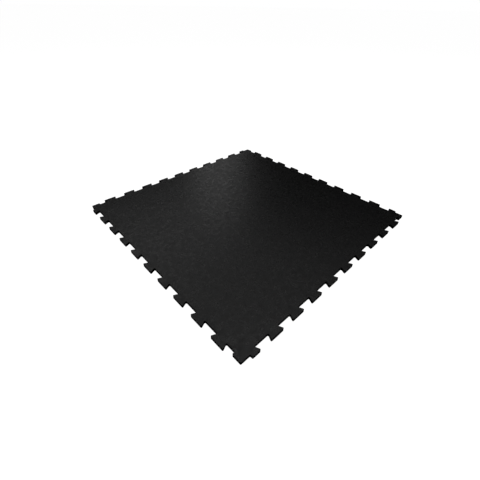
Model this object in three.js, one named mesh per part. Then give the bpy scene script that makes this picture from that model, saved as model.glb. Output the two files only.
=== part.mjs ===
// An interlocking rubber floor mat: one flat square tile, cut in one piece from black rubber sheet.
// Dovetail teeth run along all four edges. The tile looks the same after each quarter turn, so any edge
// of it locks into any edge of the next tile.
// Millimetres. The tile lies flat, +Z up, with its origin at the centre of its underside.

import * as THREE from "three";

// The tile
const moduleSize = 1000; // the square that one laid tile covers, which is the grid of the laid floor
const thickness = 12;

// The edge profile. The middle line of an edge is the side of the module square.
const toothPitch = 96.8; // one tooth and one notch, measured along the middle line
const toothDepth = 20; // from a tooth's tip to the bottom of a notch
const flankAngle = THREE.MathUtils.degToRad(26); // lean of a tooth's sides, which makes the dovetail
const cornerBlock = 35; // the plain square block that meets the blocks of three other tiles
const jointGap = 0.7; // between two tiles that are locked together, all along the joint
const roundingRadius = 3.2; // at the inner and outer corners of the profile
const roundingSteps = 4; // straight stretches in each rounded corner
const roundingShare = 0.48; // the most of a short stretch that the arc at one of its ends may take

// The tile's colour and finish
const rubberBlack = 0x1c1c1d;
const rubberRoughness = 0.82;

// The profile of one edge, seen from above with the tile behind it: x runs along the edge from its
// middle, and y is how far the outline stands out of the middle line.
function edgeProfile() {
  const half = moduleSize / 2;
  const inset = jointGap / 2;
  const tip = toothDepth / 2 - inset;
  const root = -toothDepth / 2 - inset;

  // how far a flank leans for each millimetre outwards, and what the inset takes off it
  const lean = Math.tan(flankAngle);
  const standBack = inset / Math.cos(flankAngle);

  // the row of whole teeth is centred, with a quarter of a pitch or more left over at both ends
  const wholeTeeth = Math.round((moduleSize - 2 * cornerBlock) / toothPitch) - 1;
  const firstFlank = -wholeTeeth * toothPitch / 2;

  // corner block, then the cut-off tooth beside it
  const points = [
    [-half + inset, -inset],
    [-half + cornerBlock + inset, -inset],
    [-half + cornerBlock + inset, tip],
  ];
  for (let notch = 0; notch <= wholeTeeth; notch++) {
    const toothEnd = firstFlank + notch * toothPitch;
    const toothStart = toothEnd + toothPitch / 2;
    points.push([toothEnd + tip * lean - standBack, tip]);
    points.push([toothEnd + root * lean - standBack, root]);
    // the last notch is cut off by the next corner's block
    if (notch < wholeTeeth) {
      points.push([toothStart - root * lean + standBack, root]);
      points.push([toothStart - tip * lean + standBack, tip]);
    }
  }
  points.push([half - cornerBlock + inset, root]);
  points.push([half - cornerBlock + inset, -inset]);
  return points;
}

// The corners of the whole outline, anticlockwise: the same edge four times, a quarter turn apart.
function tileCorners() {
  const corners = [];
  for (let edge = 0; edge < 4; edge++) {
    for (const [along, out] of edgeProfile()) {
      const corner = new THREE.Vector2(along, -moduleSize / 2 - out);
      corners.push(corner.rotateAround(new THREE.Vector2(), edge * Math.PI / 2));
    }
  }
  return corners;
}

// The outline with an arc at each corner. The straight stretches run from one arc to the next.
function roundedShape(corners) {
  const shape = new THREE.Shape();
  corners.forEach((corner, index) => {
    const toBefore = corners.at(index - 1).clone().sub(corner);
    const toAfter = corners[(index + 1) % corners.length].clone().sub(corner);
    const halfAngle = toBefore.angleTo(toAfter) / 2;

    // a short stretch is shared with the arc at its other end
    const room = Math.min(toBefore.length(), toAfter.length()) * roundingShare;
    const setback = Math.min(roundingRadius / Math.tan(halfAngle), room);
    const radius = setback * Math.tan(halfAngle);

    const inwards = toBefore.clone().normalize().add(toAfter.clone().normalize());
    const centre = inwards.setLength(radius / Math.sin(halfAngle)).add(corner);
    const start = toBefore.clone().setLength(setback).add(corner).sub(centre);
    const end = toAfter.clone().setLength(setback).add(corner).sub(centre);
    const hollow = toBefore.cross(toAfter) > 0;
    shape.absarc(centre.x, centre.y, radius, start.angle(), end.angle(), hollow);
  });
  return shape;
}

function interlockingMat() {
  const geometry = new THREE.ExtrudeGeometry(roundedShape(tileCorners()), {
    depth: thickness,
    bevelEnabled: false,
    curveSegments: roundingSteps / 2, // an arc gets twice as many
  });
  const material = new THREE.MeshStandardMaterial({
    color: rubberBlack,
    roughness: rubberRoughness,
    metalness: 0,
  });
  const mesh = new THREE.Mesh(geometry, material);
  mesh.name = "interlocking_mat";
  return mesh;
}

const tile = new THREE.Group();
tile.add(interlockingMat());

export default tile;
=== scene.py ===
# The interlocking rubber mat: its finished mesh, its crumb rubber, and the studio round it
import math

import bpy
from mathutils import Matrix, Vector


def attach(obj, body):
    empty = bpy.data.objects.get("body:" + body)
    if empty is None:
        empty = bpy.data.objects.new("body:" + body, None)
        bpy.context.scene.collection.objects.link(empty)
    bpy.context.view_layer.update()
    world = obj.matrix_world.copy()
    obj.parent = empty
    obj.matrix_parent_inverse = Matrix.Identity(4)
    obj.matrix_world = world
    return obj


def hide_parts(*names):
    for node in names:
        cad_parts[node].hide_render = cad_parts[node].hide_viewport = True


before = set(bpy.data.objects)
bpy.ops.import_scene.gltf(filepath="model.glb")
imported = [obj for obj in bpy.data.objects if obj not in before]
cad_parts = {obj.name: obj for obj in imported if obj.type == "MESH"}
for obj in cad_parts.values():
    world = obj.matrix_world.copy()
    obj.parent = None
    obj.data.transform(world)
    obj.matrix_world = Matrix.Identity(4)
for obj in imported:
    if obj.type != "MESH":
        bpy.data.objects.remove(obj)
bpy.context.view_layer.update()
print("frame loaded")


def deselectAll():
    if bpy.context.object and bpy.context.object.mode != "OBJECT":
        bpy.ops.object.mode_set(mode="OBJECT")
    bpy.ops.object.select_all(action="DESELECT")


def startPicking(kind):
    # nothing stays selected, and the selection is then set by place in object mode
    bpy.ops.object.mode_set(mode="EDIT")
    bpy.ops.mesh.select_mode(type=kind)
    bpy.ops.mesh.select_all(action="DESELECT")
    bpy.ops.object.mode_set(mode="OBJECT")


def pickVerts(obj, test):
    startPicking("VERT")
    for vert in obj.data.vertices:
        vert.select = test(vert.co)
    bpy.ops.object.mode_set(mode="EDIT")


def pickEdges(obj, test):
    startPicking("EDGE")
    verts = obj.data.vertices
    for edge in obj.data.edges:
        edge.select = test(verts[edge.vertices[0]].co, verts[edge.vertices[1]].co)
    bpy.ops.object.mode_set(mode="EDIT")


def pickFaces(obj, test):
    startPicking("FACE")
    for face in obj.data.polygons:
        face.select = test(face.normal)
    bpy.ops.object.mode_set(mode="EDIT")


# the mat's shape, in metres
matCut = {
    "tile": 1.0,                    # what one laid tile covers
    "thick": 0.012,
    "pitch": 0.0968,                # one tooth and one notch
    "teeth": 9,                     # whole ones on each edge
    "depth": 0.020,                 # tooth tip to notch bottom
    "flank": math.radians(26),      # lean of a tooth's sides
    "block": 0.035,                 # plain corner
    "gap": 0.0007,                  # between two locked tiles
    "rounding": 0.0032,             # at the corners of the outline
    "roundingSteps": 6,
    "rim": 0.0005,                  # softened top and bottom edges
    "rimSteps": 2,
    "startSize": 0.01,              # of the plane that is merged to the outline's first point
    "gridStep": 0.0048,             # between the cuts that carry the unevenness
    "wallRows": 3,
    "topDip": 0.00035,              # how far the top sinks at most
    "topHollow": 0.045,             # width of the top's hollows
    "wallDip": 0.00025,
    "wallHollow": 0.006,
    "hollowDetail": 2,
    "rimMargin": 0.00005,           # how far the hollows keep from the rims
    "smoothAngle": math.radians(30),
    "flatFrom": 0.99,               # a face is level when its normal stands at least this high
    "pressedFrom": 0.8,             # and belongs to the pressed top or bottom from here on
}


def edgeRun(cut):
    # one edge of the tile from corner to corner, as moves along it and out of it
    half = cut["tile"] / 2
    inset = cut["gap"] / 2
    tip = cut["depth"] / 2 - inset
    root = -cut["depth"] / 2 - inset
    lean = math.tan(cut["flank"])
    back = inset / math.cos(cut["flank"])
    blockEnd = -half + cut["block"] + inset
    nextBlock = half - cut["block"] + inset
    firstTip = -cut["teeth"] * cut["pitch"] / 2 + tip * lean - back
    lastRoot = cut["teeth"] * cut["pitch"] / 2 + root * lean - back
    tooth = (cut["pitch"] / 2 - 2 * back + 2 * tip * lean, 0)
    notch = (cut["pitch"] / 2 + 2 * back - 2 * root * lean, 0)
    down = (-cut["depth"] * lean, -cut["depth"])
    up = (-cut["depth"] * lean, cut["depth"])

    moves = [(cut["block"], 0), (0, cut["depth"] / 2), (firstTip - blockEnd, 0), down]
    moves += [notch, up, tooth, down] * cut["teeth"]
    moves += [(nextBlock - lastRoot, 0), (0, cut["depth"] / 2), (cut["block"] - 2 * inset, 0)]
    return moves


def cutOutline(cut):
    # a small plane merged to one point, which is extruded along the first edge
    corner = -cut["tile"] / 2 + cut["gap"] / 2
    deselectAll()
    bpy.ops.mesh.primitive_plane_add(size=cut["startSize"], location=(corner, corner, 0))
    mat = bpy.context.object
    mat.name = "crumb_rubber_mat"
    bpy.ops.object.mode_set(mode="EDIT")
    bpy.ops.mesh.merge(type="CENTER")
    for along, out in edgeRun(cut):
        bpy.ops.mesh.extrude_region_move(TRANSFORM_OT_translate={"value": (along, -out, 0)})

    # the other three edges are copies, each a quarter turn on
    bpy.ops.mesh.select_all(action="SELECT")
    for turn in range(3):
        bpy.ops.mesh.duplicate()
        bpy.ops.transform.rotate(value=math.radians(90), orient_axis="Z", center_override=(0, 0, 0))
    bpy.ops.mesh.select_all(action="SELECT")
    bpy.ops.mesh.remove_doubles(threshold=cut["gap"] / 2)
    bpy.ops.mesh.edge_face_add()
    bpy.ops.object.mode_set(mode="OBJECT")
    bpy.ops.object.transform_apply(location=True, rotation=True, scale=True)
    return mat


def roundCorners(mat, cut):
    # only the corners beside a plain block are square, and the others need more room for the same radius
    square = cut["tile"] / 2 - cut["block"] - cut["gap"]
    halfAngle = (math.radians(90) - cut["flank"]) / 2
    leaningRoom = cut["rounding"] / math.tan(halfAngle)
    pickVerts(mat, lambda co: min(abs(co.x), abs(co.y)) < square)
    bpy.ops.mesh.bevel(affect="VERTICES", offset=leaningRoom, segments=cut["roundingSteps"])
    pickVerts(mat, lambda co: min(abs(co.x), abs(co.y)) > square)
    bpy.ops.mesh.bevel(affect="VERTICES", offset=cut["rounding"], segments=cut["roundingSteps"])


def giveThickness(mat, cut):
    bpy.ops.object.mode_set(mode="EDIT")
    bpy.ops.mesh.select_mode(type="FACE")
    bpy.ops.mesh.select_all(action="SELECT")
    bpy.ops.mesh.extrude_region_move(TRANSFORM_OT_translate={"value": (0, 0, cut["thick"])})
    bpy.ops.mesh.select_all(action="SELECT")
    bpy.ops.mesh.normals_make_consistent(inside=False)

    # the level edges are the rims, and the upright ones stay sharp
    pickEdges(mat, lambda a, b: abs(a.z - b.z) < cut["thick"] / 2)
    bpy.ops.mesh.bevel(affect="EDGES", offset=cut["rim"], segments=cut["rimSteps"])


def cutGrid(mat, cut):
    # the underside stays one face, so it is hidden while the rest is cut
    pickFaces(mat, lambda normal: normal.z < -cut["flatFrom"])
    bpy.ops.mesh.hide()
    reach = cut["tile"] / 2 + cut["depth"] / 2
    count = int(2 * reach / cut["gridStep"])
    for number in range(count):
        place = (number - (count - 1) / 2) * cut["gridStep"]
        for normal in ((1, 0, 0), (0, 1, 0)):
            bpy.ops.mesh.select_all(action="SELECT")
            bpy.ops.mesh.bisect(plane_co=Vector(normal) * place, plane_no=normal)
    for row in range(1, cut["wallRows"]):
        bpy.ops.mesh.select_all(action="SELECT")
        bpy.ops.mesh.bisect(plane_co=(0, 0, cut["thick"] * row / cut["wallRows"]), plane_no=(0, 0, 1))
    bpy.ops.mesh.reveal()

    # the cuts left many points in line on the underside's rim, so it is split into even triangles
    pickFaces(mat, lambda normal: normal.z < -cut["flatFrom"])
    bpy.ops.mesh.quads_convert_to_tris(ngon_method="BEAUTY")
    bpy.ops.mesh.beautify_fill()
    bpy.ops.object.mode_set(mode="OBJECT")


def vertsBetween(mat, lowest, highest):
    return [vert.index for vert in mat.data.vertices if lowest < vert.co.z < highest]


def addUnevenness(mat, name, verts, dip, hollow, direction):
    # a noise that only sinks the surface, so the mat stays within its size
    noise = bpy.data.textures.new(name, "CLOUDS")
    noise.noise_scale = hollow
    noise.noise_depth = matCut["hollowDetail"]
    group = mat.vertex_groups.new(name=name)
    group.add(verts, 1.0, "REPLACE")
    bpy.ops.object.modifier_add(type="DISPLACE")
    sink = mat.modifiers[-1]
    sink.texture = noise
    sink.texture_coords = "LOCAL"
    sink.vertex_group = name
    sink.direction = direction
    sink.mid_level = 1.0
    sink.strength = dip
    bpy.ops.object.modifier_apply(modifier=sink.name)


mat = cutOutline(matCut)
roundCorners(mat, matCut)
giveThickness(mat, matCut)
print("outline cut and thickened")
cutGrid(mat, matCut)
print("grid cut:", len(mat.data.vertices), "verts")

rimEnd = matCut["rim"] + matCut["rimMargin"]
topVerts = vertsBetween(mat, matCut["thick"] - matCut["rimMargin"], matCut["thick"] + rimEnd)
wallVerts = vertsBetween(mat, rimEnd, matCut["thick"] - rimEnd)
addUnevenness(mat, "topWave", topVerts, matCut["topDip"], matCut["topHollow"], "Z")
addUnevenness(mat, "wallWave", wallVerts, matCut["wallDip"], matCut["wallHollow"], "NORMAL")
bpy.ops.object.shade_smooth_by_angle(angle=matCut["smoothAngle"])
mat.data.calc_loop_triangles()
print("mat finished:", len(mat.data.loop_triangles), "triangles")


def setInputs(node, values):
    for name, value in values.items():
        node.inputs[name].default_value = value


def grey(level):
    return (level, level, level, 1)


# the grain's noises, and below them the share that each part has in an effect
grainNoise = {
    "ragged": {"finer": 1.1, "detail": 3.0, "roughness": 0.55, "pull": 2.0},
    "clump": {"detail": 3.0, "roughness": 0.6, "from": 0.35, "to": 0.65},
    "pore": {"finer": 0.9, "from": 0.45, "to": 0.75, "closed": 0.001},
}
grainShares = {
    "paint": {"tone": 0.35, "clump": 0.65},
    "roughening": {"solid": -0.22, "polish": -0.18, "clump": -0.60},
    "height": {"solid": 0.4, "slope": 0.8, "ragged": 0.3, "clump": 0.3},
}


def crumbGroup(noise, shares):
    # ragged crumbs pressed together, in clumps, with pores here and there
    group = bpy.data.node_groups.new("crumbGrain", "ShaderNodeTree")
    sockets = group.interface
    for name in ("Crumb size", "Clump size", "Pore width"):
        sockets.new_socket(name, in_out="INPUT", socket_type="NodeSocketFloat")
    for name in ("Dark", "Light"):
        sockets.new_socket(name, in_out="INPUT", socket_type="NodeSocketColor")
    sockets.new_socket("Color", in_out="OUTPUT", socket_type="NodeSocketColor")
    for name in ("Roughening", "Height"):
        sockets.new_socket(name, in_out="OUTPUT", socket_type="NodeSocketFloat")
    nodes = group.nodes
    links = group.links
    inside = nodes.new("NodeGroupInput")
    outside = nodes.new("NodeGroupOutput")
    place = nodes.new("ShaderNodeTexCoord").outputs["Object"]

    def divide(top, bottom):
        node = nodes.new("ShaderNodeMath")
        node.operation = "DIVIDE"
        if isinstance(top, float):
            node.inputs[0].default_value = top
        else:
            links.new(top, node.inputs[0])
        links.new(bottom, node.inputs[1])
        return node.outputs[0]

    def texture(kind, where, size, finer=1.0):
        scale = divide(finer, inside.outputs[size])
        node = nodes.new(kind)
        links.new(where, node.inputs["Vector"])
        links.new(scale, node.inputs["Scale"])
        return node

    def arrows(operation, first, second=None):
        node = nodes.new("ShaderNodeVectorMath")
        node.operation = operation
        links.new(first, node.inputs[0])
        if second:
            links.new(second, node.inputs[1])
        return node

    def everyWay(colour):
        # a colour's middle is taken off, so what is left points every way
        node = arrows("SUBTRACT", colour)
        node.inputs[1].default_value = (0.5, 0.5, 0.5)
        return node.outputs["Vector"]

    def stretch(value, low, high):
        node = nodes.new("ShaderNodeMapRange")
        setInputs(node, {"From Min": low, "From Max": high})
        links.new(value, node.inputs["Value"])
        return node

    def total(start, *parts):
        # the start, and each value times its share
        for value, share in parts:
            node = nodes.new("ShaderNodeMath")
            node.operation = "MULTIPLY_ADD"
            node.inputs[1].default_value = share
            links.new(value, node.inputs[0])
            if isinstance(start, float):
                node.inputs[2].default_value = start
            else:
                links.new(start, node.inputs[2])
            start = node.outputs[0]
        return start

    # the cells are pulled out of shape by about half a crumb
    ragged = texture("ShaderNodeTexNoise", place, "Crumb size", noise["ragged"]["finer"])
    setInputs(ragged, {"Detail": noise["ragged"]["detail"], "Roughness": noise["ragged"]["roughness"]})
    push = arrows("SCALE", everyWay(ragged.outputs["Color"]))
    links.new(total(0.0, (inside.outputs["Crumb size"], noise["ragged"]["pull"])), push.inputs["Scale"])
    pulled = arrows("ADD", place, push.outputs["Vector"]).outputs["Vector"]

    crumbs = texture("ShaderNodeTexVoronoi", pulled, "Crumb size")
    eachCrumb = nodes.new("ShaderNodeSeparateColor")
    links.new(crumbs.outputs["Color"], eachCrumb.inputs["Color"])

    clumps = texture("ShaderNodeTexNoise", place, "Clump size")
    setInputs(clumps, {"Detail": noise["clump"]["detail"], "Roughness": noise["clump"]["roughness"]})
    clumpTone = stretch(clumps.outputs["Fac"], noise["clump"]["from"], noise["clump"]["to"])

    # 0 in a pore and 1 on a crumb, with no pore at all over much of the surface
    gaps = texture("ShaderNodeTexNoise", pulled, "Crumb size", noise["pore"]["finer"])
    openness = stretch(gaps.outputs["Fac"], noise["pore"]["from"], noise["pore"]["to"])
    setInputs(openness, {"To Min": noise["pore"]["closed"]})
    links.new(inside.outputs["Pore width"], openness.inputs["To Max"])
    edges = texture("ShaderNodeTexVoronoi", pulled, "Crumb size")
    edges.feature = "DISTANCE_TO_EDGE"
    onCrumb = nodes.new("ShaderNodeMapRange")
    onCrumb.interpolation_type = "SMOOTHSTEP"
    links.new(edges.outputs["Distance"], onCrumb.inputs["Value"])
    links.new(openness.outputs[0], onCrumb.inputs["From Max"])

    # each crumb's face leans its own way
    lean = everyWay(crumbs.outputs["Color"])
    across = arrows("SUBTRACT", pulled, crumbs.outputs["Position"]).outputs["Vector"]
    rise = arrows("DOT_PRODUCT", across, lean).outputs["Value"]
    slope = divide(rise, inside.outputs["Crumb size"])

    # a crumb's tone and its polish are drawn apart
    parts = {
        "solid": onCrumb.outputs[0],
        "tone": eachCrumb.outputs["Red"],
        "polish": eachCrumb.outputs["Green"],
        "slope": slope,
        "ragged": ragged.outputs["Fac"],
        "clump": clumpTone.outputs[0],
    }

    def effect(name, start):
        return total(start, *[(parts[part], share) for part, share in shares[name].items()])

    paint = nodes.new("ShaderNodeMix")
    paint.data_type = "RGBA"
    links.new(effect("paint", 0.0), paint.inputs["Factor"])
    links.new(inside.outputs["Dark"], paint.inputs["A"])
    links.new(inside.outputs["Light"], paint.inputs["B"])
    links.new(paint.outputs["Result"], outside.inputs["Color"])
    links.new(effect("roughening", 1.0), outside.inputs["Roughening"])
    links.new(effect("height", 0.0), outside.inputs["Height"])
    return group


crumbGrain = crumbGroup(grainNoise, grainShares)


def rubber(name, look):
    material = bpy.data.materials.new(name)
    material.use_nodes = True
    nodes = material.node_tree.nodes
    links = material.node_tree.links
    shader = nodes["Principled BSDF"]
    grain = nodes.new("ShaderNodeGroup")
    grain.node_tree = crumbGrain
    setInputs(grain, {"Crumb size": look["crumbSize"], "Clump size": look["clumpSize"]})
    setInputs(grain, {"Pore width": look["poreWidth"]})
    setInputs(grain, {"Dark": grey(look["dark"]), "Light": grey(look["light"])})
    links.new(grain.outputs["Color"], shader.inputs["Base Color"])

    gloss = nodes.new("ShaderNodeMapRange")
    setInputs(gloss, {"To Min": look["roughness"][0], "To Max": look["roughness"][1]})
    links.new(grain.outputs["Roughening"], gloss.inputs["Value"])
    links.new(gloss.outputs[0], shader.inputs["Roughness"])

    bump = nodes.new("ShaderNodeBump")
    setInputs(bump, {"Strength": look["bump"], "Distance": look["relief"]})
    links.new(grain.outputs["Height"], bump.inputs["Height"])
    links.new(bump.outputs["Normal"], shader.inputs["Normal"])
    setInputs(shader, {"Specular IOR Level": look["specular"]})
    return material


# sizes in metres, and the pore width is a share of a crumb
pressedLook = {
    "crumbSize": 0.0024, "clumpSize": 0.016, "poreWidth": 0.25, "dark": 0.002, "light": 0.013,
    "roughness": (0.22, 0.46), "bump": 0.4, "relief": 0.0004, "specular": 0.5,
}
# the walls' rubber is darker than the top's: partly the cut face's own darker rubber, and partly painted
# shade on the upright sides
cutAndShadedLook = {
    "crumbSize": 0.0022, "clumpSize": 0.006, "poreWidth": 0.35, "dark": 0.002, "light": 0.008,
    "roughness": (0.60, 1.00), "bump": 0.9, "relief": 0.0008, "specular": 0.04,
}
pressedFace = rubber("pressedRubber", pressedLook)
cutAndShadedWall = rubber("cutRubberAndPaintedShade", cutAndShadedLook)
mat.data.materials.append(pressedFace)
mat.data.materials.append(cutAndShadedWall)
# upright faces take the darker wall rubber, which is partly painted shade
for face in mat.data.polygons:
    face.material_index = 0 if abs(face.normal.z) > matCut["pressedFrom"] else 1
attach(mat, "root")
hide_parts("interlocking_mat")
print("rubber made")

# the floor glows to white for the camera alone, so it doesn't light the rubber
floorLook = {"size": 400, "grey": 0.5, "roughness": 0.9, "specular": 0.1, "glow": 0.97}
deselectAll()
bpy.ops.mesh.primitive_plane_add(size=floorLook["size"], location=(0, 0, 0))
floor = bpy.context.object
floor.name = "studio_floor"
floorPaint = bpy.data.materials.new("palePaper")
floorPaint.use_nodes = True
paperNodes = floorPaint.node_tree.nodes
paper = paperNodes["Principled BSDF"]
setInputs(paper, {"Base Color": grey(floorLook["grey"]), "Roughness": floorLook["roughness"]})
setInputs(paper, {"Specular IOR Level": floorLook["specular"], "Emission Color": grey(1)})
glow = paperNodes.new("ShaderNodeMath")
glow.operation = "MULTIPLY"
glow.inputs[1].default_value = floorLook["glow"]
seen = paperNodes.new("ShaderNodeLightPath")
floorPaint.node_tree.links.new(seen.outputs["Is Camera Ray"], glow.inputs[0])
floorPaint.node_tree.links.new(glow.outputs[0], paper.inputs["Emission Strength"])
floor.data.materials.append(floorPaint)


def towards(bearing, elevation):
    # bearing is counted from +X towards +Y
    flat = Vector((math.cos(math.radians(bearing)), math.sin(math.radians(bearing)), 0))
    return flat * math.cos(math.radians(elevation)) + Vector((0, 0, math.sin(math.radians(elevation))))


def addLight(kind, name, light, distance):
    # it stands off in one direction and faces the middle of the mat
    aim = towards(light["bearing"], light["elevation"])
    deselectAll()
    bpy.ops.object.light_add(type=kind, location=aim * distance)
    lamp = bpy.context.object
    lamp.name = name
    lamp.rotation_euler = aim.to_track_quat("Z", "Y").to_euler()
    return lamp


# the sun fills in softly from the front, and the panels make the sheen
sunLight = {"bearing": 225, "elevation": 70, "distance": 5, "strength": 0.15, "spread": 60}
sun = addLight("SUN", "softSun", sunLight, sunLight["distance"])
sun.data.energy = sunLight["strength"]
sun.data.angle = math.radians(sunLight["spread"])
sun.visible_glossy = False

# brightness is what a panel looks like from the mat, so its size can change alone
panelDistance = 4.5
softPanels = {
    "sidePanel": {"bearing": 81, "elevation": 45, "size": (2.3, 2.2), "brightness": 0.60},
    "backPanel": {"bearing": 53, "elevation": 28, "size": (0.9, 1.9), "brightness": 0.68},
    "topPanel": {"bearing": 20, "elevation": 56, "size": (3.3, 2.4), "brightness": 0.34},
    "leftPanel": {"bearing": 150, "elevation": 34, "size": (2.8, 3.2), "brightness": 0.50},
    "frontPanel": {"bearing": 225, "elevation": 30, "size": (3.0, 3.2), "brightness": 0.50},
    "rightPanel": {"bearing": 300, "elevation": 34, "size": (2.8, 3.2), "brightness": 0.50},
    "overheadPanel": {"bearing": 30, "elevation": 77, "size": (2.2, 1.5), "brightness": 1.00},
}
for name, panel in softPanels.items():
    lamp = addLight("AREA", name, panel, panelDistance)
    lamp.data.shape = "RECTANGLE"
    lamp.data.size, lamp.data.size_y = panel["size"]
    lamp.data.energy = panel["brightness"] * math.pi * panel["size"][0] * panel["size"][1]

# the air is white to the camera and lights nothing
world = bpy.data.worlds.new("studioAir")
bpy.context.scene.world = world
world.use_nodes = True
air = world.node_tree
setInputs(air.nodes["Background"], {"Color": grey(1)})
path = air.nodes.new("ShaderNodeLightPath")
air.links.new(path.outputs["Is Camera Ray"], air.nodes["Background"].inputs["Strength"])
bpy.context.scene.view_settings.view_transform = "Standard"

# the photo's view
cameraView = {
    "place": (-0.7818, -0.7838, 0.7656),
    "azimuth": -43.62, "elevation": 36.10, "roll": 0.98,
    "lens": 22.075, "shiftY": -0.0417, "clip": (0.01, 500),
}
deselectAll()
aimed = (
    Matrix.Rotation(math.radians(cameraView["azimuth"]), 3, "Z")
    @ Matrix.Rotation(math.radians(90 - cameraView["elevation"]), 3, "X")
    @ Matrix.Rotation(math.radians(cameraView["roll"]), 3, "Z")
)
bpy.ops.object.camera_add(location=cameraView["place"], rotation=aimed.to_euler())
camera = bpy.context.object
camera.data.lens = cameraView["lens"]
camera.data.shift_y = cameraView["shiftY"]
camera.data.clip_start, camera.data.clip_end = cameraView["clip"]
bpy.context.scene.camera = camera
print("studio and camera set")
